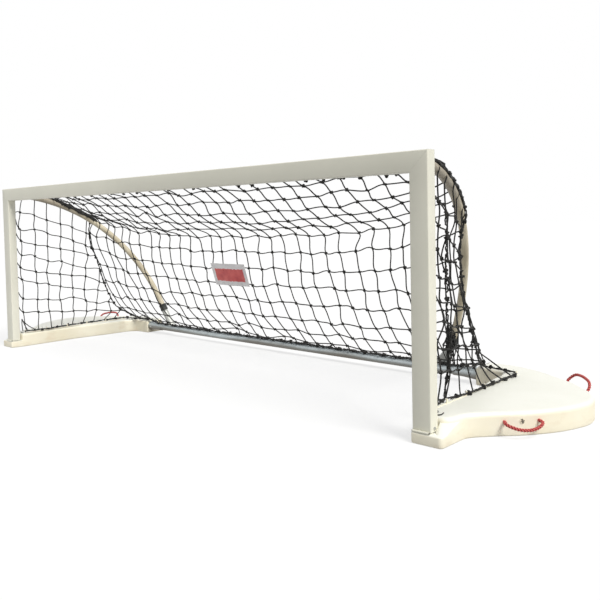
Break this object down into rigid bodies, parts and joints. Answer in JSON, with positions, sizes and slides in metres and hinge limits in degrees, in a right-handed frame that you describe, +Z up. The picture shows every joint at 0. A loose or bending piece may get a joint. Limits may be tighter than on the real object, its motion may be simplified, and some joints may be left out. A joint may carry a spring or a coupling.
{
  "type": "water polo goal",
  "caption": "Folding floating goal: square frame on two hollow floats, with a net held inside two curved arms and a rear tube.",
  "frame": {"origin": "bottom centre of the bounding box, on the floor under the middle of the goal", "axes": "+X along the crossbar, +Y from the mouth to the rear tube, +Z up"},
  "size_m": [3.8142, 1.0152, 1.015],
  "materials": {
    "frame": "satin cream-white coating",
    "float": "smooth off-white moulding",
    "foam": "closed-cell foam",
    "tube": "satin",
    "arm": "cream coating",
    "fitting": "brushed",
    "rubber": "matt black",
    "rope": "three-strand laid rope",
    "net": "knotted black cord",
    "sign": "plain sheet",
    "plastic": "matt dark"
  },
  "bodies": {
    "base": {"right_float": "float", "left_float": "float", "right_foam_core": "foam", "left_foam_core": "foam", "rear_tube": "tube", "right_tube_sleeve": "tube", "left_tube_sleeve": "tube", "right_sleeve_screw": "fitting", "left_sleeve_screw": "fitting", "right_arm_socket": "arm", "left_arm_socket": "arm", "right_arm_collar": "rubber", "left_arm_collar": "rubber", "right_hinge_base_leaf": "fitting", "left_hinge_base_leaf": "fitting", "right_hinge_pin": "fitting", "left_hinge_pin": "fitting", "right_drain_plug": "plastic", "left_drain_plug": "plastic", "right_front_rope_handle": "rope", "left_front_rope_handle": "rope", "right_rear_rope_handle": "rope", "left_rear_rope_handle": "rope", "right_net_rail": "float", "left_net_rail": "float"},
    "goal_face": {"right_post": "frame", "left_post": "frame", "crossbar": "frame", "right_corner_key": "plastic", "left_corner_key": "plastic", "right_post_end_plug": "plastic", "left_post_end_plug": "plastic", "right_plug_screw": "fitting", "left_plug_screw": "fitting", "right_arm_bracket": "fitting", "left_arm_bracket": "fitting", "right_arm_pin": "fitting", "left_arm_pin": "fitting", "crossbar_net_track": "plastic", "right_post_net_track": "plastic", "left_post_net_track": "plastic", "right_hinge_post_leaf": "fitting", "left_hinge_post_leaf": "fitting", "net_main": "net", "right_side_net": "net", "left_side_net": "net", "right_net_edge_cord": "net", "left_net_edge_cord": "net", "net_border_cord": "net", "sign_sheet": "sign"},
    "right_arm": {"right_arm_tube": "arm", "right_arm_eye": "fitting", "right_arm_end_plug": "plastic"},
    "left_arm": {"left_arm_tube": "arm", "left_arm_eye": "fitting", "left_arm_end_plug": "plastic"}
  },
  "joints": [
    {"name": "goal_face_fold", "type": "hinge", "parent": "base", "child": "goal_face", "pos_m": [0, -0.503, 0.0448], "axis": [1, 0, 0], "range_deg": [0, 90], "deforming": ["net_main", "right_side_net", "left_side_net", "right_net_edge_cord", "left_net_edge_cord", "net_border_cord", "sign_sheet"]},
    {"name": "right_arm_fold", "type": "hinge", "parent": "goal_face", "child": "right_arm", "pos_m": [1.515, -0.4215, 0.9775], "axis": [1, 0, 0], "range_deg": [-45, 0]},
    {"name": "left_arm_fold", "type": "hinge", "parent": "goal_face", "child": "left_arm", "pos_m": [-1.515, -0.4215, 0.9775], "axis": [1, 0, 0], "range_deg": [-45, 0]}
  ],
  "couplings": [
    {"joint": "right_arm_fold", "follows": "goal_face_fold", "ratio": -0.5},
    {"joint": "left_arm_fold", "follows": "goal_face_fold", "ratio": -0.5}
  ]
}
